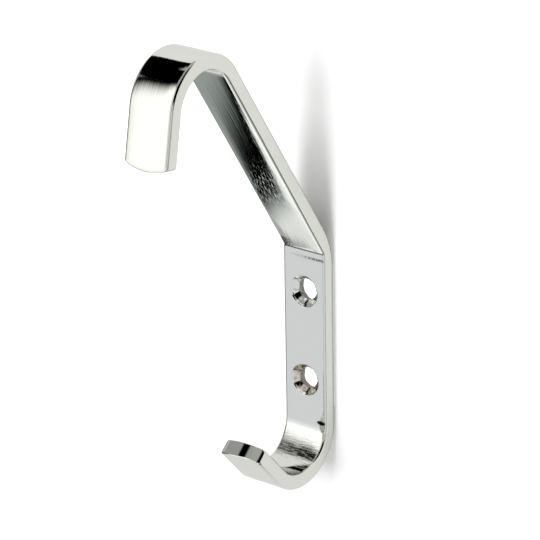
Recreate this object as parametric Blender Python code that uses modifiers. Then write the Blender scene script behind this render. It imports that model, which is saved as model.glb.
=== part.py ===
"""Hat-and-coat wall hook bent from one flat bar, in metres, +Z up.

The back of the plate is the plane y = 0, the wall is on its +Y side, and the hook reaches out along -Y.
The origin is on the back of the plate, midway between the two screw holes.
"""

import math

import bmesh
import bpy
from mathutils import Matrix, Vector

MM = 0.001

# Bar section
BAR_WIDTH = 13.4 * MM
BAR_THICKNESS = 4.2 * MM
EDGE_RADIUS = 0.8 * MM

# Plate and the bend above it
HOLE_PITCH = 25.0 * MM
BORE_DIAMETER = 5.5 * MM
BACK_DIAMETER = 7.2 * MM
SINK_DIAMETER = 8.8 * MM
SINK_ANGLE = math.radians(90.0)
CREASE_HEIGHT = 24.2 * MM
ARM_LEAN = math.radians(33.0)
BEND_BACK_RADIUS = 23.0 * MM

# Arm, arch and upper tip
ARM_LENGTH = 68.5 * MM
ARCH_INNER_RADIUS = 9.6 * MM
UPPER_TIP_LEAN = math.radians(10.2)
UPPER_TIP_LENGTH = 14.9 * MM
UPPER_END_RADIUS = 17.0 * MM

# Lower hook and its tip
LOWER_DROP = 23.9 * MM
LOWER_INNER_RADIUS = 9.75 * MM
LOWER_TIP_RISE = math.radians(48.0)
LOWER_TIP_LENGTH = 13.4 * MM
LOWER_END_RADIUS = 17.0 * MM
LOWER_END_SKEW = math.radians(5.0)

# Small break on the edges of both ends
END_BREAK = 0.35 * MM

# Fineness of the curved shapes
ARCH_STEPS = 30
BEND_STEPS = 8
END_STEPS = 12
EDGE_STEPS = 3
HOLE_STEPS = 48

# How far cutters and the uncut ends of the bar run past the finished shape
RUN_PAST = 3.0 * MM

PLATED = (0.80, 0.81, 0.79, 1.0)


def clear_scene():
    for obj in list(bpy.data.objects):
        bpy.data.objects.remove(obj, do_unlink=True)


def new_collection(name):
    collection = bpy.data.collections.new(name)
    bpy.context.scene.collection.children.link(collection)
    return collection


def plated_material():
    material = bpy.data.materials.new("bright_plating")
    material.use_nodes = True
    shader = material.node_tree.nodes["Principled BSDF"]
    shader.inputs["Base Color"].default_value = PLATED
    shader.inputs["Metallic"].default_value = 1.0
    shader.inputs["Roughness"].default_value = 0.08
    return material


def heading(angle):
    """Unit vector in the side view (y, z) at an angle measured from +Y towards +Z."""
    return Vector((math.cos(angle), math.sin(angle)))


def arc(centre, radius, start, end, steps):
    """Points on an arc about centre, from the start angle to the end angle."""
    turns = [start + (end - start) * i / steps for i in range(steps + 1)]
    return [centre + radius * heading(turn) for turn in turns]


class SideView:
    """Named points of the hook seen from its side, with its closed outline."""

    def __init__(self):
        thick = BAR_THICKNESS
        arm_out = heading(math.pi / 2 + ARM_LEAN)
        arm_back = heading(ARM_LEAN)
        crease = Vector((-thick, CREASE_HEIGHT))

        # Arch: its centre lies off the inner face of the arm
        arm_top = crease + ARM_LENGTH * arm_out
        arch = arm_top - ARCH_INNER_RADIUS * arm_back
        arch_start = ARM_LEAN
        arch_end = math.pi - UPPER_TIP_LEAN
        arch_outer_radius = ARCH_INNER_RADIUS + thick
        self.upper_way = -heading(math.pi / 2 - UPPER_TIP_LEAN)
        upper_run = (UPPER_TIP_LENGTH + RUN_PAST) * self.upper_way
        self.upper_base = arch + (ARCH_INNER_RADIUS + thick / 2) * heading(arch_end)

        # Bend: the back is one arc, tangent to the back of the plate and of the arm
        below_crease = (BEND_BACK_RADIUS - thick) * math.tan(ARM_LEAN / 2)
        bend = Vector((-BEND_BACK_RADIUS, CREASE_HEIGHT - below_crease))

        # Lower hook
        lower = Vector((-thick - LOWER_INNER_RADIUS, -LOWER_DROP))
        lower_outer_radius = LOWER_INNER_RADIUS + thick
        lower_turn = -math.pi / 2 - LOWER_TIP_RISE
        self.lower_way = heading(math.pi - LOWER_TIP_RISE)
        lower_run = (LOWER_TIP_LENGTH + RUN_PAST) * self.lower_way
        self.lower_base = lower + (LOWER_INNER_RADIUS + thick / 2) * heading(lower_turn)

        arch_out = arc(arch, arch_outer_radius, arch_end, arch_start, ARCH_STEPS)
        bend_back = arc(bend, BEND_BACK_RADIUS, ARM_LEAN, 0.0, BEND_STEPS)
        lower_out = arc(lower, lower_outer_radius, 0.0, lower_turn, ARCH_STEPS)
        lower_in = arc(lower, LOWER_INNER_RADIUS, lower_turn, 0.0, ARCH_STEPS)
        arch_in = arc(arch, ARCH_INNER_RADIUS, arch_start, arch_end, ARCH_STEPS)
        self.outline = (
            [arch_out[0] + upper_run]
            + arch_out
            + bend_back
            + lower_out
            + [lower_out[-1] + lower_run, lower_in[0] + lower_run]
            + lower_in
            + [crease]
            + arch_in
            + [arch_in[-1] + upper_run]
        )


def flat_curve(name, points, half_depth, matrix, collection, rounding=0.0, round_steps=0):
    """Closed filled outline, extruded both ways; rounding keeps the outline's size."""
    data = bpy.data.curves.new(name, "CURVE")
    data.dimensions = "2D"
    data.fill_mode = "BOTH"
    data.extrude = half_depth - rounding
    data.bevel_depth = rounding
    data.bevel_resolution = round_steps
    data.offset = -rounding
    spline = data.splines.new("POLY")
    spline.points.add(len(points) - 1)
    for point, (u, v) in zip(spline.points, points):
        point.co = (u, v, 0.0, 1.0)
    spline.use_cyclic_u = True
    obj = bpy.data.objects.new(name, data)
    obj.matrix_world = matrix
    collection.objects.link(obj)
    return obj


def to_mesh(curve, collection):
    """Mesh object with the evaluated shape of a curve, its caps welded to its sides."""
    bpy.context.view_layer.update()
    graph = bpy.context.evaluated_depsgraph_get()
    name = curve.name
    mesh = bpy.data.meshes.new_from_object(curve.evaluated_get(graph))
    welded = bmesh.new()
    welded.from_mesh(mesh)
    bmesh.ops.remove_doubles(welded, verts=welded.verts, dist=0.000002)
    bmesh.ops.recalc_face_normals(welded, faces=welded.faces)
    welded.to_mesh(mesh)
    welded.free()
    obj = bpy.data.objects.new(name, mesh)
    obj.matrix_world = curve.matrix_world
    bpy.data.objects.remove(curve, do_unlink=True)
    obj.name = name
    collection.objects.link(obj)
    return obj


def as_cutter(obj):
    obj.hide_render = True
    obj.display_type = "WIRE"
    return obj


def frame_matrix(across, along, origin):
    """Matrix with local X and Y on two perpendicular directions."""
    third = across.cross(along)
    return Matrix.Translation(origin) @ Matrix((across, along, third)).transposed().to_4x4()


def in_space(point):
    return Vector((0.0, point[0], point[1]))


def end_cutter(name, base, way, length, radius, skew, collection):
    """Block that leaves an arc-cut end on a tip; base and way are in the side view."""
    half = BAR_WIDTH / 2 + RUN_PAST
    lean = math.tan(skew)
    # The arc keeps off the rounded edges, where its outermost facets run on straight
    flat = BAR_WIDTH / 2 - EDGE_RADIUS - 2 * END_BREAK
    spread = math.asin(flat / radius)
    centre = length - radius
    outer = centre + radius * math.cos(spread) - (half - flat) * math.tan(spread)
    points = [(-half, outer - half * lean)]
    for i in range(END_STEPS + 1):
        turn = spread * (2 * i / END_STEPS - 1.0)
        x = radius * math.sin(turn)
        points.append((x, centre + radius * math.cos(turn) + x * lean))
    points += [(half, outer + half * lean), (half, length + half), (-half, length + half)]
    matrix = frame_matrix(Vector((1.0, 0.0, 0.0)), in_space(way), in_space(base))
    half_depth = BAR_THICKNESS / 2 + RUN_PAST
    return as_cutter(to_mesh(flat_curve(name, points, half_depth, matrix, collection), collection))


def hole_cutter(name, height, collection):
    """Turned shape of one screw hole: a countersink in front and a bore that widens towards the back."""
    slope = math.tan(SINK_ANGLE / 2)
    front = -BAR_THICKNESS - RUN_PAST
    bore = BORE_DIAMETER / 2
    wide = SINK_DIAMETER / 2 + RUN_PAST * slope
    sink_floor = front + (wide - bore) / slope
    past = bore + (BACK_DIAMETER / 2 - bore) * (RUN_PAST - sink_floor) / -sink_floor
    profile = [(0.0, front), (wide, front), (bore, sink_floor), (past, RUN_PAST), (0.0, RUN_PAST)]
    mesh = bpy.data.meshes.new(name)
    steps = range(len(profile) - 1)
    mesh.from_pydata([(x, y, 0.0) for x, y in profile], [(i, i + 1) for i in steps], [])
    obj = bpy.data.objects.new(name, mesh)
    obj.location = (0.0, 0.0, height)
    turn = obj.modifiers.new("turn", "SCREW")
    turn.axis = "Y"
    turn.steps = HOLE_STEPS
    turn.render_steps = HOLE_STEPS
    turn.use_merge_vertices = True
    turn.merge_threshold = 0.000001
    turn.use_normal_calculate = True
    turn.use_normal_flip = True
    collection.objects.link(obj)
    return as_cutter(obj)


def cut(obj, cutter):
    modifier = obj.modifiers.new(cutter.name, "BOOLEAN")
    modifier.operation = "DIFFERENCE"
    modifier.solver = "EXACT"
    modifier.object = cutter


def soften_ends(obj):
    modifier = obj.modifiers.new("end_break", "BEVEL")
    modifier.limit_method = "ANGLE"
    modifier.angle_limit = math.radians(50.0)
    modifier.width = END_BREAK
    modifier.segments = 2


def build():
    clear_scene()
    parts = new_collection("wall_hook")
    cutters = new_collection("cutters")
    view = SideView()

    side = frame_matrix(Vector((0.0, 1.0, 0.0)), Vector((0.0, 0.0, 1.0)), Vector())
    half = BAR_WIDTH / 2
    bar = to_mesh(flat_curve("hook_bar", view.outline, half, side, parts, EDGE_RADIUS, EDGE_STEPS), parts)
    bar.data.materials.clear()
    bar.data.materials.append(plated_material())

    upper = (view.upper_base, view.upper_way, UPPER_TIP_LENGTH, UPPER_END_RADIUS, 0.0)
    lower = (view.lower_base, view.lower_way, LOWER_TIP_LENGTH, LOWER_END_RADIUS, LOWER_END_SKEW)
    cut(bar, end_cutter("upper_end_cutter", *upper, cutters))
    cut(bar, end_cutter("lower_end_cutter", *lower, cutters))
    soften_ends(bar)
    cut(bar, hole_cutter("upper_hole_cutter", HOLE_PITCH / 2, cutters))
    cut(bar, hole_cutter("lower_hole_cutter", -HOLE_PITCH / 2, cutters))


build()
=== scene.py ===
"""Bright plated wall hook on a white wall: fine visual model, materials, light and camera."""

import math

import bmesh
import bpy
from mathutils import Matrix, Vector


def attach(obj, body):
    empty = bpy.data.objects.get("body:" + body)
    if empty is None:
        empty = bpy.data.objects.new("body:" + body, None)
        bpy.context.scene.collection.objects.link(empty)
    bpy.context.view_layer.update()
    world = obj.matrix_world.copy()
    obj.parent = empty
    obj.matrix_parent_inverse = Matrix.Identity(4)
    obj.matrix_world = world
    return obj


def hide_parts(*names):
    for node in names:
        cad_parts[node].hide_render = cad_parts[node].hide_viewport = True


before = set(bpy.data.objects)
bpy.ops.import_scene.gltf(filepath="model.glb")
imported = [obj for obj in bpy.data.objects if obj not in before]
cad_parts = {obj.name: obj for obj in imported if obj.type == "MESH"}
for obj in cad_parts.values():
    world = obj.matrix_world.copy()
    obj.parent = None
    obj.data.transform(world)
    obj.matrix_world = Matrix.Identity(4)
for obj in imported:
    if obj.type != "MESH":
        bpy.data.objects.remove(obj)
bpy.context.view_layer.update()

MM = 0.001

# Sizes of the part's solid
BAR_WIDTH = 13.4 * MM
BAR_THICKNESS = 4.2 * MM
EDGE_RADIUS = 0.8 * MM
HOLE_PITCH = 25.0 * MM
BORE_DIAMETER = 5.5 * MM
BACK_DIAMETER = 7.2 * MM
SINK_DIAMETER = 8.8 * MM
SINK_ANGLE = math.radians(90.0)
CREASE_HEIGHT = 24.2 * MM
ARM_LEAN = math.radians(33.0)
BEND_BACK_RADIUS = 23.0 * MM
ARM_LENGTH = 68.5 * MM
ARCH_INNER_RADIUS = 9.6 * MM
UPPER_TIP_LEAN = math.radians(10.2)
UPPER_TIP_LENGTH = 14.9 * MM
UPPER_END_RADIUS = 17.0 * MM
LOWER_DROP = 23.9 * MM
LOWER_INNER_RADIUS = 9.75 * MM
LOWER_TIP_RISE = math.radians(48.0)
LOWER_TIP_LENGTH = 13.4 * MM
LOWER_END_RADIUS = 17.0 * MM
LOWER_END_SKEW = math.radians(5.0)
END_BREAK = 0.35 * MM

# How far the outer face keeps inside, because the arcs of the part's solid are faceted
SKIN = 0.012 * MM

# Small rounding in the crease and at the rims of the screw holes
CREASE_RADIUS = 1.0 * MM
RIM_RADIUS = 0.2 * MM

# Ground corners of both ends
CORNER_WIDTH = 1.2 * MM
CORNER_RADIUS = 1.6 * MM

# Narrow strip beside an edge that keeps the shading of a rounding out of the face
GUARD = 0.06 * MM

# Rows of the mesh in each stretch of the bar, and the first row in the crease
TIP_STEPS = 16
ARCH_STEPS = 72
ARM_STEPS = 40
BEND_STEPS = 24
CREASE_STEPS = 5
PLATE_STEPS = 32
CREASE_ROW = TIP_STEPS + ARCH_STEPS + ARM_STEPS + BEND_STEPS // 2

# Row in the arch on which the way round the bar is measured
GIRTH_ROW = 40

# Fineness of the mesh round the bar, at its ends and in the screw holes
CORNER_STEPS = 8
FACE_STEPS = 14
SIDE_STEPS = 3
BREAK_STEPS = 5
RIM_STEPS = 5
HOLE_STEPS = 160

# How sharply a polished face falls off towards its long edges
CROWN_POWER = 3.6

# Edges of the mesh that bend more than this are shaded sharp
SHARP_ANGLE = math.radians(16.0)

# Screw holes: how far their cutter runs past the bar, and the lean at which their rounded rim starts
HOLE_PAST = 3.0 * MM
RIM_START = math.radians(4.0)

# Uneven rings of the hole's walls: (share of the way, unevenness in mm)
SINK_RINGS = ((0.35, 0.0455), (0.7, 0.091))
BORE_RINGS = ((0.0, 0.10), (0.2, 0.22), (0.4, 0.24), (0.6, 0.20), (0.8, 0.22), (1.15, 0.18))
LAST_UNEVEN = 0.14 * MM

# Waves of that unevenness: (height, number round the hole, shift per hole, shift per ring)
WAVES = ((0.45, 3, 1.0, 0.9), (0.35, 5, 2.3, -1.3), (0.25, 9, 3.1, 2.1), (0.30, 14, 1.9, 1.7))

# Bores are torn out a little at the top in front and at the lower left behind, with a burr at the left
TEAR = 0.27 * MM
TEAR_FRONT = math.radians(100.0)
TEAR_BACK = math.radians(215.0)
BURR = 0.55 * MM

# Colours of the plating: clean; painted shade in the bores; a painted warm reflection in the lower hole; and
# black for the painted shade at the crease and the painted dark reflections below it and at the plate's foot
PLATED = (0.70, 0.712, 0.66, 1.0)
BORE_SHADE = (0.42, 0.42, 0.40, 1.0)
WARM_REFLECTION = (0.56, 0.48, 0.41, 1.0)
BLACK = (0.015, 0.016, 0.015, 1.0)
SPECULAR_TINT = (0.88, 0.88, 0.88, 1.0)

# Depth of the fine relief of the plating
RELIEF = 0.0000075

# Painted dark reflection at the foot of the plate and the painted grey below it: place along and round,
# reach along and round
REFLECTED_SPOT = (48.4, 11.0, 0.62, 1.35)
REFLECTED_SPOT_FOOT = (49.6, 11.8, 2.0, 1.3)

# Studio that the metal mirrors: common centre of its domes, and the gap between the plate and the wall
DOME_CENTRE = (0.0, -0.03, 0.025)
WALL_HALF = 1.5
WALL_GAP = 0.0003

# Patches of the far studio: (level, azimuths and softness, elevations and softness at each), in degrees
ROOM_PATCHES = (
    (0.0, -150.0, -66.0, 4.0, 44.0, 55.0, 3.0, 1.6),
    (0.0, -68.0, -47.0, 4.0, 42.0, 51.6, 3.0, 3.0),
    (0.0, -92.0, -53.0, 6.0, 46.0, 65.0, 3.0, 3.0),
    (0.0, -59.0, -30.0, 6.0, 15.0, 46.0, 6.0, 4.0),
    (0.08, -102.0, -64.0, 6.0, -38.0, 10.0, 6.0, 8.0),
    (0.22, 55.0, 115.0, 6.0, -80.0, -42.0, 6.0, 6.0),
    (0.15, 38.0, 110.0, 10.0, 48.0, 78.0, 6.0, 8.0),
    (0.0, 28.0, 119.0, 10.0, -1.0, 54.0, 4.0, 8.0),
    (1.0, 38.0, 60.0, 8.0, -10.0, 13.0, 4.0, 5.0),
)


def heading(angle):
    """Unit vector in the side view (y, z) at an angle measured from +Y towards +Z."""
    return Vector((math.cos(angle), math.sin(angle)))


def in_space(point):
    """Point or direction of the side view, in space."""
    return Vector((0.0, point.x, point.y))


def side_stations():
    """Pairs of inner and outer points in the side view, from the upper tip to the lower tip."""
    thick = BAR_THICKNESS
    crease = Vector((-thick, CREASE_HEIGHT))
    arm_out = heading(math.pi / 2 + ARM_LEAN)
    arm_back = heading(ARM_LEAN)
    arm_top = crease + ARM_LENGTH * arm_out
    arch = arm_top - ARCH_INNER_RADIUS * arm_back
    arch_end = math.pi - UPPER_TIP_LEAN
    upper_way = -heading(math.pi / 2 - UPPER_TIP_LEAN)
    lower = Vector((-thick - LOWER_INNER_RADIUS, -LOWER_DROP))
    lower_turn = -math.pi / 2 - LOWER_TIP_RISE
    lower_way = heading(math.pi - LOWER_TIP_RISE)
    tangent = (BEND_BACK_RADIUS - thick) * math.tan(ARM_LEAN / 2)
    bend = Vector((-BEND_BACK_RADIUS, CREASE_HEIGHT - tangent))
    pairs = []

    def around(centre, inner, turn):
        return centre + inner * heading(turn), centre + (inner + thick) * heading(turn)

    def straight(first, last, steps):
        for i in range(steps):
            f = i / steps
            pairs.append(tuple(a.lerp(b, f) for a, b in zip(first, last)))

    def curved(centre, inner, start, end, steps):
        for i in range(steps):
            pairs.append(around(centre, inner, start + (end - start) * i / steps))

    def bend_with_crease():
        fillet = crease + CREASE_RADIUS / math.cos(ARM_LEAN / 2) * heading(math.pi + ARM_LEAN / 2)
        for i in range(BEND_STEPS):
            f = i / BEND_STEPS
            if 2 * i == BEND_STEPS:
                for k in range(CREASE_STEPS + 1):
                    g = k / CREASE_STEPS
                    inner = fillet + CREASE_RADIUS * heading(ARM_LEAN * (1.0 - g))
                    shift = BEND_BACK_RADIUS * heading(ARM_LEAN * (0.5 + 0.02 * (0.5 - g)))
                    pairs.append((inner, bend + shift))
            else:
                along = tangent * (1.0 - 2.0 * f)
                inner = crease + (along * arm_out if along > 0.0 else Vector((0.0, along)))
                pairs.append((inner, bend + BEND_BACK_RADIUS * heading(ARM_LEAN * (1.0 - f))))

    arch_first = around(arch, ARCH_INNER_RADIUS, arch_end)
    arch_last = around(arch, ARCH_INNER_RADIUS, ARM_LEAN)
    upper_tip = tuple(p + UPPER_TIP_LENGTH * upper_way for p in arch_first)
    arm_foot = (crease + tangent * arm_out, bend + BEND_BACK_RADIUS * arm_back)
    plate_top = (crease - Vector((0.0, tangent)), bend + Vector((BEND_BACK_RADIUS, 0.0)))
    lower_first = around(lower, LOWER_INNER_RADIUS, 0.0)
    lower_last = around(lower, LOWER_INNER_RADIUS, lower_turn)
    lower_tip = tuple(p + LOWER_TIP_LENGTH * lower_way for p in lower_last)

    straight(upper_tip, arch_first, TIP_STEPS)
    curved(arch, ARCH_INNER_RADIUS, arch_end, ARM_LEAN, ARCH_STEPS)
    straight(arch_last, arm_foot, ARM_STEPS)
    bend_with_crease()
    straight(plate_top, lower_first, PLATE_STEPS)
    curved(lower, LOWER_INNER_RADIUS, 0.0, lower_turn, ARCH_STEPS)
    straight(lower_last, lower_tip, TIP_STEPS)
    pairs.append(lower_tip)
    return pairs, upper_way, lower_way


def section_loop():
    """Points (x, depth share, depth offset) once round the bar, starting on the inner face."""
    half = BAR_WIDTH / 2
    r = EDGE_RADIUS
    flat = half - r
    xs = [-flat, -flat + GUARD]
    xs += [-flat + 2 * flat * i / FACE_STEPS for i in range(1, FACE_STEPS)]
    xs += [flat - GUARD, flat]
    turns = [math.pi / 2 * i / CORNER_STEPS for i in range(1, CORNER_STEPS)]
    loop = [(x, 0.0, 0.0) for x in xs]
    loop += [(flat + r * math.sin(a), 0.0, r - r * math.cos(a)) for a in turns]
    side = [(half, i / SIDE_STEPS) for i in range(SIDE_STEPS + 1)]
    loop += [(x, f, r * (1.0 - 2.0 * f)) for x, f in side]
    loop += [(flat + r * math.cos(a), 1.0, -(r - r * math.sin(a))) for a in turns]
    loop += [(x, 1.0, 0.0) for x in reversed(xs)]
    loop += [(-flat - r * math.sin(a), 1.0, -(r - r * math.cos(a))) for a in turns]
    loop += [(-x, 1.0 - f, -r * (1.0 - 2.0 * f)) for x, f in side]
    loop += [(-flat - r * math.cos(a), 0.0, r - r * math.sin(a)) for a in turns]
    return loop


def crown(x, slopes):
    """How far a polished face falls off at x; slopes are its leans at the left and right long edges."""
    half = BAR_WIDTH / 2
    slope = math.radians(slopes[0] if x < 0.0 else slopes[1])
    return slope * half / (CROWN_POWER + 1.0) * (abs(x) / half) ** (CROWN_POWER + 1.0)


def crown_slopes(rows):
    """Leans in degrees at the left and right edges of the inner and outer faces, for each row of the bar."""
    inner_marks = (
        (0, (2.5, 2.5)), (80, (2.5, 2.5)), (98, (5.2, 5.0)), (CREASE_ROW - 6, (5.2, 5.0)),
        (CREASE_ROW, (1.0, 1.5)), (189, (1.0, 1.5)), (208, (2.5, 4.0)), (222, (2.5, 4.0)),
        (231, (1.0, -2.0)), (245, (1.0, -2.0)), (257, (2.5, 2.5)), (rows, (2.5, 2.5)),
    )
    outer_marks = (
        (0, (5.2, 7.0)), (14, (5.2, 7.0)), (34, (2.5, 6.0)), (60, (2.5, 2.5)), (rows, (2.5, 2.5)),
    )

    def between(marks, j):
        for (first, low), (last, high) in zip(marks, marks[1:]):
            if j <= last:
                f = (j - first) / (last - first)
                return tuple(a + (b - a) * f for a, b in zip(low, high))

    return [(between(inner_marks, j), between(outer_marks, j)) for j in range(rows)]


class TipEnd:
    """Arc-cut end of a tip, with ground corners; its row is the first or the last of the bar."""

    def __init__(self, row, way, radius, skew):
        self.row = row
        self.way = in_space(way)
        self.radius = radius
        self.lean = math.tan(skew)

    def fall(self, x):
        """How far the end lies back at x."""
        corner = max(0.0, abs(x) - BAR_WIDTH / 2 + CORNER_WIDTH)
        ground = CORNER_RADIUS - math.sqrt(CORNER_RADIUS * CORNER_RADIUS - corner * corner)
        return self.radius - math.sqrt(self.radius * self.radius - x * x) - x * self.lean + ground


def section_point(pair, point, slope_in, slope_out):
    inner, outer = pair
    x, share, offset = point
    depth = outer - inner
    fall = crown(x, slope_in) * (1.0 - share) - (crown(x, slope_out) + SKIN) * share
    at = inner + depth * share + depth.normalized() * (offset + fall)
    return Vector((x, at.x, at.y))


def bar_places(pairs, loop, ends):
    """Points of the bar, row by row; the rows of each tip close up towards its arc-cut end."""
    places = []
    for pair, slopes in zip(pairs, crown_slopes(len(pairs))):
        places.append([section_point(pair, point, *slopes) for point in loop])
    for end in ends:
        for k in range(TIP_STEPS):
            row = places[k] if end.row == 0 else places[-1 - k]
            share = 1.0 - k / TIP_STEPS
            for i, point in enumerate(loop):
                row[i] = row[i] - end.way * (end.fall(point[0]) + END_BREAK) * share
    return places


def lengths_along(pairs):
    """Length along the bar at each row, in mm from the middle of the crease."""
    along = [0.0]
    for a, b in zip(pairs, pairs[1:]):
        along.append(along[-1] + ((b[0] + b[1]) / 2 - (a[0] + a[1]) / 2).length)
    crease = (along[CREASE_ROW] + along[CREASE_ROW + CREASE_STEPS]) / 2
    return [(length - crease) / MM for length in along]


def lengths_around(row):
    """Length round the bar at each point of a row, in mm, and once more at its first point."""
    around = [0.0]
    for a, b in zip(row, row[1:] + row[:1]):
        around.append(around[-1] + (b - a).length)
    return [length / MM for length in around]


def close_end(bar, base, pair, end, loop):
    """Rounded rim and flat of one end."""
    count = len(loop)
    half = BAR_WIDTH / 2
    half_thick = BAR_THICKNESS / 2
    centre = in_space((pair[0] + pair[1]) / 2)
    across = in_space((pair[1] - pair[0]).normalized())
    start = base
    # The last ring lies in the flat and keeps the shading of the rim out of it
    for step in range(1, BREAK_STEPS + 2):
        a = math.pi / 2 * min(step / BREAK_STEPS, 1.0)
        inset = END_BREAK * (1.0 - math.cos(a)) + (GUARD if step > BREAK_STEPS else 0.0)
        rise = END_BREAK * math.sin(a)
        ring = []
        for vert, (x, _, _) in zip(base, loop):
            d = (vert.co - centre).dot(across)
            new_x = x * (half - inset) / half
            new_d = d * (half_thick - inset) / half_thick
            shift = end.fall(x) - end.fall(new_x)
            place = vert.co + Vector((new_x - x, 0.0, 0.0)) + across * (new_d - d)
            ring.append(bar.verts.new(place + end.way * (rise + shift)))
        for i in range(count):
            n = (i + 1) % count
            if end.row == 0:
                bar.faces.new((start[i], start[n], ring[n], ring[i]))
            else:
                bar.faces.new((start[n], start[i], ring[i], ring[n]))
        start = ring

    # The flat is filled with strips between points of the two faces with the same x
    face_n = FACE_STEPS + 3
    side_n = 2 * CORNER_STEPS + SIDE_STEPS - 1
    inner = list(range(face_n))
    right = list(range(face_n, face_n + side_n))
    outer = list(range(face_n + side_n, 2 * face_n + side_n))
    left = list(range(2 * face_n + side_n, count))
    fills = []
    for k in range(face_n - 1):
        fills.append([inner[k], inner[k + 1], outer[face_n - 2 - k], outer[face_n - 1 - k]])
    fills.append([inner[-1]] + right + [outer[0]])
    fills.append([outer[-1]] + left + [inner[0]])
    for fill in fills:
        if end.row != 0:
            fill.reverse()
        bar.faces.new([start[i] for i in fill])


def bar_mesh():
    """Bar without its holes; its map "bar" holds the lengths along and round it in mm."""
    pairs, upper_way, lower_way = side_stations()
    loop = section_loop()
    count = len(loop)
    ends = (
        TipEnd(0, upper_way, UPPER_END_RADIUS, 0.0),
        TipEnd(-1, lower_way, LOWER_END_RADIUS, LOWER_END_SKEW),
    )
    places = bar_places(pairs, loop, ends)
    along = lengths_along(pairs)
    around = lengths_around(places[GIRTH_ROW])

    bar = bmesh.new()
    uv = bar.loops.layers.uv.new("bar")
    rows = [[bar.verts.new(p) for p in row] for row in places]
    for j in range(len(rows) - 1):
        for i in range(count):
            n = (i + 1) % count
            face = bar.faces.new((rows[j][i], rows[j + 1][i], rows[j + 1][n], rows[j][n]))
            marks = ((j, i), (j + 1, i), (j + 1, i + 1), (j, i + 1))
            for corner, (s, c) in zip(face.loops, marks):
                corner[uv].uv = (along[s], around[c])
    for end in ends:
        close_end(bar, rows[end.row], pairs[end.row], end, loop)

    bmesh.ops.recalc_face_normals(bar, faces=bar.faces)
    mesh = bpy.data.meshes.new("hook_bar_fine")
    bar.to_mesh(mesh)
    bar.free()
    return mesh


def hole_cutter(name, height, turn):
    """Screw hole for a Boolean cut: rounded rim, countersink and an uneven bore that widens to the back."""
    slope = math.tan(SINK_ANGLE / 2)
    front = -BAR_THICKNESS
    sink = SINK_DIAMETER / 2
    bore = BORE_DIAMETER / 2
    back = BACK_DIAMETER / 2
    throat = front + (sink - bore) / slope
    rim = sink + RIM_RADIUS * math.tan(SINK_ANGLE / 4)

    # Rings of the hole from front to back: radius, y and unevenness
    rings = [(rim - RIM_RADIUS * math.sin(RIM_START), front - HOLE_PAST, 0.0)]
    for k in range(RIM_STEPS + 1):
        a = RIM_START + (SINK_ANGLE / 2 - RIM_START) * k / RIM_STEPS
        rings.append((rim - RIM_RADIUS * math.sin(a), front + RIM_RADIUS * (1.0 - math.cos(a)), 0.0))
    for f, uneven in SINK_RINGS:
        radius = sink + (bore - sink) * f
        rings.append((radius, throat - (radius - bore) / slope, uneven * MM))
    # The last ring of the bore lies behind the back face, which so cuts clean through its quads
    for f, uneven in BORE_RINGS:
        rings.append((bore + (back - bore) * f, throat * (1.0 - f), uneven * MM))
    rings.append((back, HOLE_PAST, LAST_UNEVEN))

    def radius_at(a, k, radius, y, uneven):
        wave = sum(size * math.sin(n * a + s * turn + t * k) for size, n, s, t in WAVES)
        if uneven and y > throat - 0.01 * MM:
            torn = math.cos(a - (TEAR_FRONT if y < throat / 2 else TEAR_BACK))
            wave += TEAR / uneven * max(0.0, torn) ** 3
        r = radius + uneven * wave
        if y > throat:
            r -= BURR * min(1.0, (y - throat) / -throat) * max(0.0, -math.cos(a)) ** 2
        return r

    shape = bmesh.new()
    loops = []
    for k, ring in enumerate(rings):
        loop = []
        for i in range(HOLE_STEPS):
            # Half a step off keeps these points off the middle line of the bar's mesh
            a = 2 * math.pi * (i + 0.5) / HOLE_STEPS
            r = radius_at(a, k, *ring)
            loop.append(shape.verts.new((r * math.cos(a), ring[1], r * math.sin(a))))
        loops.append(loop)
    for low, high in zip(loops, loops[1:]):
        for i in range(HOLE_STEPS):
            n = (i + 1) % HOLE_STEPS
            shape.faces.new((low[i], low[n], high[n], high[i]))
    shape.faces.new(loops[0])
    shape.faces.new(loops[-1])
    bmesh.ops.recalc_face_normals(shape, faces=shape.faces)
    mesh = bpy.data.meshes.new(name)
    shape.to_mesh(mesh)
    shape.free()
    obj = bpy.data.objects.new(name, mesh)
    obj.location = (0.0, 0.0, height)
    bpy.context.scene.collection.objects.link(obj)
    return obj


def hook_piece():
    """The hook as one closed mesh, with its screw holes cut."""
    obj = bpy.data.objects.new("hook_bar_fine", bar_mesh())
    bpy.context.scene.collection.objects.link(obj)
    cutters = [
        hole_cutter("hole_up", HOLE_PITCH / 2, 0.7),
        hole_cutter("hole_down", -HOLE_PITCH / 2, 2.9),
    ]
    for cutter in cutters:
        cut = obj.modifiers.new(cutter.name, "BOOLEAN")
        cut.operation = "DIFFERENCE"
        cut.solver = "EXACT"
        cut.object = cutter
    bpy.context.view_layer.update()
    graph = bpy.context.evaluated_depsgraph_get()
    mesh = bpy.data.meshes.new_from_object(obj.evaluated_get(graph))
    obj.modifiers.clear()
    obj.data = mesh
    for cutter in cutters:
        bpy.data.objects.remove(cutter, do_unlink=True)
    mesh.shade_smooth()
    mesh.set_sharp_from_angle(angle=SHARP_ANGLE)
    return obj


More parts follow.
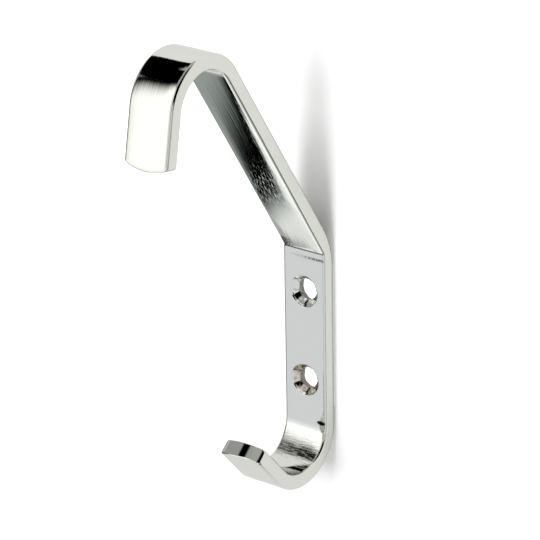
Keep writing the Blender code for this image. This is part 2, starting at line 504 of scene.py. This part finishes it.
class Nodes:
    """Short ways to wire a node tree."""

    def __init__(self, tree):
        self.tree = tree

    def add(self, kind, **settings):
        node = self.tree.nodes.new(kind)
        for name, value in settings.items():
            setattr(node, name, value)
        return node

    def put(self, socket, value):
        if hasattr(value, "is_output"):
            self.tree.links.new(value, socket)
        else:
            socket.default_value = value

    def math(self, operation, *values):
        node = self.add("ShaderNodeMath", operation=operation)
        for socket, value in zip(node.inputs, values):
            self.put(socket, value)
        return node.outputs[0]

    def product(self, *values):
        result = values[0]
        for value in values[1:]:
            result = self.math("MULTIPLY", result, value)
        return result

    def ramp(self, value, low, high, first=0.0, last=1.0, kind="SMOOTHSTEP"):
        """Smooth step of a value from one level to another."""
        node = self.add("ShaderNodeMapRange", interpolation_type=kind)
        names = ("Value", "From Min", "From Max", "To Min", "To Max")
        for name, part in zip(names, (value, low, high, first, last)):
            self.put(node.inputs[name], part)
        return node.outputs["Result"]

    def split(self, vector):
        node = self.add("ShaderNodeSeparateXYZ")
        self.put(node.inputs[0], vector)
        return node.outputs

    def band(self, value, low, high, soft_low, soft_high):
        """One inside a range, with soft ends centred on its limits."""
        up = self.ramp(value, low - soft_low / 2, low + soft_low / 2)
        down = self.ramp(value, high - soft_high / 2, high + soft_high / 2, 1.0, 0.0)
        return self.product(up, down)

    def blend(self, base, over, mask):
        """Number that goes from base to over as the mask goes from 0 to 1."""
        node = self.add("ShaderNodeMix", data_type="FLOAT")
        for name, part in (("Factor", mask), ("A", base), ("B", over)):
            self.put(node.inputs[name], part)
        return node.outputs["Result"]

    def tint(self, base, over, mask):
        """Colour that goes from base to over as the mask goes from 0 to 1."""
        node = self.add("ShaderNodeMix", data_type="RGBA")
        for index, part in ((0, mask), (6, base), (7, over)):
            self.put(node.inputs[index], part)
        return node.outputs[2]

    def glow(self, strength, color=None):
        node = self.add("ShaderNodeEmission")
        self.put(node.inputs["Strength"], strength)
        if color is not None:
            self.put(node.inputs["Color"], color)
        return node.outputs[0]

    def show(self, surface, mask=None):
        """Material output with this surface, clear where the mask is 0."""
        if mask is not None:
            mix = self.add("ShaderNodeMixShader")
            clear = self.add("ShaderNodeBsdfTransparent").outputs[0]
            for socket, part in zip(mix.inputs, (mask, clear, surface)):
                self.put(socket, part)
            surface = mix.outputs[0]
        self.put(self.add("ShaderNodeOutputMaterial").inputs["Surface"], surface)


class Plating(Nodes):
    """Wiring of the plating, with places on the bar in mm and in space in metres."""

    def __init__(self, tree):
        super().__init__(tree)
        self.on_bar = self.add("ShaderNodeUVMap", uv_map="bar").outputs["UV"]
        self.along, self.around, _ = self.split(self.on_bar)
        self.in_space = self.add("ShaderNodeTexCoord").outputs["Object"]
        self.x, self.y, self.z = self.split(self.in_space)
        self.inner = self.ramp(self.around, 12.6, 12.0)

    def noise(self, scale_along, scale_across, detail, roughness):
        stretch = self.add("ShaderNodeVectorMath", operation="MULTIPLY")
        self.put(stretch.inputs[0], self.on_bar)
        stretch.inputs[1].default_value = (scale_along, scale_across, 1.0)
        node = self.add("ShaderNodeTexNoise", noise_dimensions="2D")
        self.put(node.inputs["Vector"], stretch.outputs[0])
        node.inputs["Scale"].default_value = 1.0
        node.inputs["Detail"].default_value = detail
        node.inputs["Roughness"].default_value = roughness
        return node.outputs[0]

    def grit(self):
        node = self.add("ShaderNodeTexNoise", noise_dimensions="3D")
        self.put(node.inputs["Vector"], self.in_space)
        node.inputs["Scale"].default_value = 900.0
        node.inputs["Detail"].default_value = 3.0
        return node.outputs[0]

    def spot(self, length, width, reach_along, reach_across):
        """Square of the distance from a place on the bar, as a share of the reaches."""
        a = self.math("DIVIDE", self.math("SUBTRACT", self.along, length), reach_along)
        b = self.math("DIVIDE", self.math("SUBTRACT", self.around, width), reach_across)
        return self.math("ADD", self.product(a, a), self.product(b, b))

    def holes(self):
        """Masks of the screw holes, below the front face and within the rim, and of their bores."""
        reach = self.math("SUBTRACT", self.math("ABSOLUTE", self.z), HOLE_PITCH / 2)
        squares = self.math("ADD", self.product(reach, reach), self.product(self.x, self.x))
        reach = self.math("SQRT", squares)
        front = -BAR_THICKNESS
        deep = self.ramp(self.y, front + 0.2 * MM, front + 0.5 * MM)
        hole = self.product(deep, self.ramp(reach, 5.0 * MM, 4.8 * MM))
        bore = self.product(hole, self.ramp(self.y, front + 1.3 * MM, front + 1.9 * MM))
        return hole, bore

    def marks(self):
        """Mask of the painted shade in and beside the crease with a painted dark reflection line below it,
        and of the painted dark reflection at the plate's foot.
        """
        along, around = self.along, self.around
        patchy = self.ramp(self.noise(1.6, 1.9, 3.0, 0.65), 0.40, 0.60)
        ragged = self.math("SUBTRACT", around, self.product(patchy, 2.2))
        # Painted shade: a smudge at the far edge just above the crease, and dark specks beside it
        corner = self.product(self.band(along, -4.0, 0.3, 1.0, 0.4), self.ramp(ragged, 1.3, 0.0))
        speckle = self.product(self.band(along, -3.2, -0.3, 1.2, 0.4), self.ramp(around, 7.0, 1.0))
        speckle = self.product(speckle, self.ramp(self.noise(2.2, 2.0, 2.0, 0.6), 0.52, 0.66))
        corner = self.math("MAXIMUM", corner, speckle)
        # Painted shade: a dark line in the crease
        fold = self.product(self.band(along, -0.18, 0.22, 0.2, 0.2), self.ramp(patchy, 0.0, 1.0, 0.6, 0.9))
        # Painted reflection: a dark line just below the crease
        reflected_line = self.product(self.band(along, 1.8, 2.5, 0.5, 0.7), self.ramp(around, 0.0, 11.0))
        reflected_line = self.product(reflected_line, self.ramp(patchy, 0.0, 1.0, 0.35, 1.0))
        crease_shade = self.math("MAXIMUM", corner, self.math("MAXIMUM", fold, reflected_line))
        crease_shade = self.product(crease_shade, self.band(self.z, 18.0 * MM, 30.0 * MM, 1.0 * MM, 1.0 * MM))

        # Painted dark reflection at the plate's foot, with painted grey below it
        reflected_spot = self.ramp(self.spot(*REFLECTED_SPOT), 1.3, 0.7)
        below = self.ramp(self.spot(*REFLECTED_SPOT_FOOT), 1.3, 0.5)
        below = self.product(below, self.ramp(patchy, 0.0, 1.0, 0.25, 0.45))
        foot = self.math("MAXIMUM", reflected_spot, below)
        return self.product(self.math("MAXIMUM", crease_shade, foot), self.inner)


def plating_material():
    """Bright nickel-chrome plating: polishing lines, rough screw holes, painted shade in the bores and at
    the crease, painted reflections in the lower hole, below the crease and at the plate's foot.
    """
    material = bpy.data.materials.new("bright_plating")
    material.use_nodes = True
    n = Plating(material.node_tree)
    shader = material.node_tree.nodes["Principled BSDF"]
    shader.inputs["Metallic"].default_value = 1.0
    shader.inputs["Specular Tint"].default_value = SPECULAR_TINT
    hole, bore = n.holes()
    grit = n.grit()

    # Polishing lines along the bar, across it in the lower hook, a finer grain and flecks on the arm
    lines = n.noise(0.05, 1.4, 2.0, 0.6)
    worn = n.product(n.band(n.along, 54.0, 64.5, 5.0, 5.0), n.inner)
    scratches = n.product(n.ramp(n.noise(1.9, 0.30, 2.0, 0.6), 0.48, 0.66), worn)
    grain = n.product(n.noise(0.12, 2.6, 2.0, 0.7), n.band(n.along, -66.0, -16.0, 4.0, 4.0), n.inner)
    flecks = n.ramp(n.noise(0.42, 4.6, 1.0, 0.5), 0.58, 0.68)
    flecks = n.product(flecks, n.band(n.along, -34.0, -17.0, 16.0, 5.0), n.inner)

    height = n.blend(lines, n.product(n.noise(1.5, 0.25, 2.0, 0.6), 5.0), worn)
    height = n.math("ADD", height, n.product(grain, 0.6))
    height = n.blend(height, n.product(grit, 8.0), hole)
    bump = n.add("ShaderNodeBump")
    bump.inputs["Strength"].default_value = 1.0
    bump.inputs["Distance"].default_value = RELIEF
    n.put(bump.inputs["Height"], height)
    n.put(shader.inputs["Normal"], bump.outputs["Normal"])

    sheen = n.ramp(lines, 0.3, 0.75, 0.02, 0.06)
    sheen = n.math("ADD", sheen, n.product(worn, n.ramp(n.around, 0.0, 11.0, 0.20, 0.08)))
    sheen = n.math("ADD", sheen, n.product(n.math("ADD", flecks, scratches), 0.22))
    n.put(shader.inputs["Roughness"], n.math("ADD", sheen, n.product(bore, 0.12)))

    # The bores get painted shade in patches, the lower hole a painted warm reflection, and the crease and
    # the plate's foot black painted shade and reflections
    lower_hole = n.product(hole, n.ramp(n.z, 1.0 * MM, -1.0 * MM))
    color = n.tint(PLATED, BORE_SHADE, n.product(bore, n.ramp(grit, 0.35, 0.60, 0.3, 1.0)))
    # Painted warm reflection in the lower hole
    color = n.tint(color, WARM_REFLECTION, n.product(lower_hole, n.ramp(grit, 0.40, 0.60, 0.35, 1.0)))
    color = n.tint(color, BLACK, n.marks())
    n.put(shader.inputs["Base Color"], color)
    return material


def stage_object(name, mesh, tree_maker):
    """Object of the studio, with a material wired by tree_maker."""
    material = bpy.data.materials.new(name)
    material.use_nodes = True
    material.node_tree.nodes.clear()
    tree_maker(Nodes(material.node_tree))
    mesh.materials.append(material)
    obj = bpy.data.objects.new(name, mesh)
    bpy.context.scene.collection.objects.link(obj)
    return obj


def sky_angles(n):
    """Azimuth and elevation, in degrees, of a point on a dome.

    Azimuth 0 is straight out of the wall and grows to the right seen from the front.
    """
    unit = n.add("ShaderNodeVectorMath", operation="NORMALIZE")
    n.put(unit.inputs[0], n.add("ShaderNodeTexCoord").outputs["Object"])
    x, y, z = n.split(unit.outputs[0])
    degrees = 180.0 / math.pi
    el = n.product(n.math("ARCSINE", z), degrees)
    az = n.product(n.math("ARCTAN2", x, n.product(y, -1.0)), degrees)
    return az, el


def room_tree(n):
    """Far side of the studio: grey walls and ceiling, a dark strip at the left, a dark right side."""
    az, el = sky_angles(n)
    light = n.ramp(el, 50.0, 60.0, 0.40, 0.48)
    for level, az_low, az_high, az_soft, *heights in ROOM_PATCHES:
        mask = n.product(n.band(az, az_low, az_high, az_soft, az_soft), n.band(el, *heights))
        light = n.blend(light, level, mask)
    n.show(n.glow(light))


def near_tree(n):
    """Near side of the studio: a large softbox in front and a pale floor; clear elsewhere."""
    az, el = sky_angles(n)
    # Pale floor, open at the lower right
    floor = n.product(n.band(az, -66.0, 88.0, 8.0, 8.0), n.ramp(el, 0.0, -6.0))
    low_right = n.product(n.ramp(az, 58.0, 66.0), n.ramp(el, -36.0, -44.0))
    floor = n.product(floor, n.math("SUBTRACT", 1.0, low_right))
    light = n.ramp(el, -24.0, -3.0, 0.91, 1.25)
    light = n.blend(light, n.ramp(az, -45.0, -25.0, 1.3, 0.9), n.ramp(el, -40.0, -70.0))
    light = n.product(light, n.ramp(az, -62.0, -47.0, 0.52, 1.0))
    # Greyer in a line straight ahead, at the right, and higher up towards the right
    low = n.ramp(el, -14.0, -19.0)
    line = n.product(n.band(az, -8.0, 8.0, 6.0, 6.0), low)
    side = n.product(n.ramp(az, 55.0, 70.0), low)
    high = n.product(n.ramp(az, 0.0, 90.0), n.math("SUBTRACT", 1.0, low))
    for mask, level in ((line, 0.55), (side, 0.62), (high, 0.40)):
        light = n.product(light, n.ramp(mask, 0.0, 1.0, 1.0, level))
    box = n.product(n.band(az, -45.0, 18.0, 16.0, 16.0), n.band(el, -7.0, 48.0, 6.0, 10.0))
    light = n.blend(light, n.ramp(az, -30.0, -16.0, 1.5, 1.0), box)
    color = n.tint((1.0, 1.0, 1.0, 1.0), (0.95, 0.965, 1.03, 1.0), n.ramp(el, -4.0, -18.0))
    n.show(n.glow(light, color), n.math("MAXIMUM", floor, box))


def low_tree(n):
    """Low left side of the studio, seen in the underside of the arm: grey, a dark gap, a white floor."""
    az, el = sky_angles(n)
    grey = n.product(n.ramp(el, -50.3, -46.2, 0.0, 0.44), n.ramp(az, -80.0, -86.0))
    slant = n.math("ADD", az, n.product(el, 1.327))
    fall = n.math("SUBTRACT", el, n.product(az, 0.185))
    right = n.product(n.ramp(fall, -35.9, -37.2), n.ramp(az, -98.0, -95.5))
    pale = n.math("MAXIMUM", n.ramp(slant, -165.6, -172.0), right)
    edge = n.product(n.ramp(az, -101.5, -106.0, 0.0, 0.33), n.ramp(slant, -160.0, -164.0))
    white = n.product(n.ramp(az, -101.0, -92.0, 1.02, 1.30), n.ramp(az, -88.0, -80.0, 1.0, 1.35))
    white = n.product(white, n.ramp(az, -66.0, -52.0, 1.0, 0.5))
    light = n.blend(n.math("MAXIMUM", grey, edge), white, pale)
    color = n.tint((0.91, 1.0, 1.0, 1.0), (0.99, 1.0, 1.03, 1.0), pale)
    n.show(n.glow(light, color), n.product(n.ramp(el, -38.0, -42.0), n.ramp(az, 50.0, 40.0)))


def dome(name, radius, tree_maker):
    """Part of the studio that only the metal sees."""
    shape = bmesh.new()
    bmesh.ops.create_uvsphere(shape, u_segments=96, v_segments=48, radius=radius)
    mesh = bpy.data.meshes.new(name)
    shape.to_mesh(mesh)
    shape.free()
    obj = stage_object(name, mesh, tree_maker)
    obj.location = DOME_CENTRE
    obj.visible_camera = False
    obj.visible_diffuse = False
    obj.visible_shadow = False


def wall_tree(n):
    """White board: lit by the lamp, lifted to white for the camera, seen from the front only."""
    x, _, z = n.split(n.add("ShaderNodeTexCoord").outputs["Object"])
    path = n.add("ShaderNodeLightPath").outputs
    glossy = path["Is Glossy Ray"]

    # The metal sees a shaded stretch of the board at the lower left
    skew = n.math("SUBTRACT", x, n.product(z, 0.5))
    shade = n.product(n.band(z, -0.095, -0.02, 0.03, 0.02), n.ramp(skew, -0.018, -0.032), glossy)
    paint = n.add("ShaderNodeBsdfDiffuse")
    n.put(paint.inputs["Color"], n.blend(0.80, 0.42, shade))

    # The lift is least in the shadow beside the hook, and full behind the screw holes and far out
    through = n.product(n.band(x, -0.006, 0.006, 0.001, 0.001), n.band(z, -0.02, 0.02, 0.001, 0.001))
    shadow = n.ramp(z, 0.031, 0.061, 0.04, 0.40, "LINEAR")
    upper = n.blend(0.45, shadow, n.band(x, -0.004, 0.0065, 0.008, 0.006))
    rise = n.blend(0.24, upper, n.ramp(z, 0.012, 0.031))
    far = n.ramp(n.math("ABSOLUTE", x), 0.12, 0.30)
    lift = n.blend(rise, 1.0, n.math("MAXIMUM", through, far))
    lift = n.glow(n.blend(0.02, lift, path["Is Camera Ray"]))
    surface = n.add("ShaderNodeAddShader")
    n.put(surface.inputs[0], paint.outputs[0])
    n.put(surface.inputs[1], lift)

    # For the metal the board is open at the far left, above, at the lower right and behind the plate
    left = n.math("MAXIMUM", n.ramp(x, -0.115, -0.097), n.ramp(z, 0.08, 0.12))
    board = n.product(left, n.ramp(z, 0.202, 0.222, 1.0, 0.0))
    foot = n.product(n.ramp(x, 0.05, 0.09), n.ramp(z, -0.03, -0.07))
    behind = n.product(n.band(x, -0.0075, 0.0075, 0.001, 0.001), n.band(z, -0.04, 0.03, 0.002, 0.002))
    board = n.product(board, n.math("SUBTRACT", 1.0, n.math("MAXIMUM", foot, behind)))
    seen = n.math("MAXIMUM", board, n.math("SUBTRACT", 1.0, glossy))
    front = n.math("SUBTRACT", 1.0, n.add("ShaderNodeNewGeometry").outputs["Backfacing"])
    n.show(surface.outputs[0], n.product(seen, front))


def wall():
    half = WALL_HALF
    mesh = bpy.data.meshes.new("wall_board")
    corners = [(-half, 0.0, -half), (half, 0.0, -half), (half, 0.0, half), (-half, 0.0, half)]
    mesh.from_pydata(corners, [], [(0, 1, 2, 3)])
    obj = stage_object("wall_board", mesh, wall_tree)
    obj.location = (0.0, WALL_GAP, 0.0)


def key_lamp():
    """Softbox that lights the wall and casts the hook's shadow; the metal does not see it."""
    data = bpy.data.lights.new("softbox", "AREA")
    data.shape = "RECTANGLE"
    data.size = 0.40
    data.size_y = 0.60
    data.energy = 6.5
    obj = bpy.data.objects.new("softbox", data)
    az = math.radians(-3.0)
    el = math.radians(11.0)
    distance = 0.9
    way = Vector((math.sin(az) * math.cos(el), -math.cos(az) * math.cos(el), math.sin(el)))
    obj.location = way * distance
    obj.rotation_euler = way.to_track_quat("Z", "Y").to_euler()
    obj.visible_glossy = False
    bpy.context.scene.collection.objects.link(obj)


def ambient():
    """White surroundings, dimmer as a light on matt surfaces."""
    world = bpy.data.worlds.new("studio_air")
    bpy.context.scene.world = world
    world.use_nodes = True
    n = Nodes(world.node_tree)
    back = world.node_tree.nodes["Background"]
    back.inputs["Color"].default_value = (1.0, 1.0, 1.0, 1.0)
    path = n.add("ShaderNodeLightPath")
    n.put(back.inputs["Strength"], n.ramp(path.outputs["Is Diffuse Ray"], 0.0, 1.0, 1.0, 0.475))


def camera():
    """Camera at the photograph's viewpoint, fitted to the outline of the object."""
    data = bpy.data.cameras.new("photo_camera")
    data.sensor_width = 36.0
    data.lens = 205.9
    data.clip_start = 0.01
    data.clip_end = 20.0
    obj = bpy.data.objects.new("photo_camera", data)
    az = math.radians(38.16)
    el = math.radians(22.35)
    roll = math.radians(1.01)
    to_right, to_top, distance = 11.510 * MM, 15.781 * MM, 804.446 * MM
    look = Vector((-math.sin(az) * math.cos(el), math.cos(az) * math.cos(el), -math.sin(el)))
    level = Vector((math.cos(az), math.sin(az), 0.0))
    down = look.cross(level)
    right = math.cos(roll) * level + math.sin(roll) * down
    up = math.sin(roll) * level - math.cos(roll) * down
    place = -(right * to_right - up * to_top + look * distance)
    turn = Matrix((right, up, -look)).transposed().to_4x4()
    obj.matrix_world = Matrix.Translation(place) @ turn
    bpy.context.scene.collection.objects.link(obj)
    bpy.context.scene.camera = obj


hook = hook_piece()
hook.data.materials.clear()
hook.data.materials.append(plating_material())
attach(hook, "root")
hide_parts("hook_bar")

wall()
dome("studio_room", 20.0, room_tree)
dome("studio_near", 1.1, near_tree)
dome("studio_low", 0.3, low_tree)
key_lamp()
ambient()
camera()

bpy.context.scene.view_settings.view_transform = "Standard"
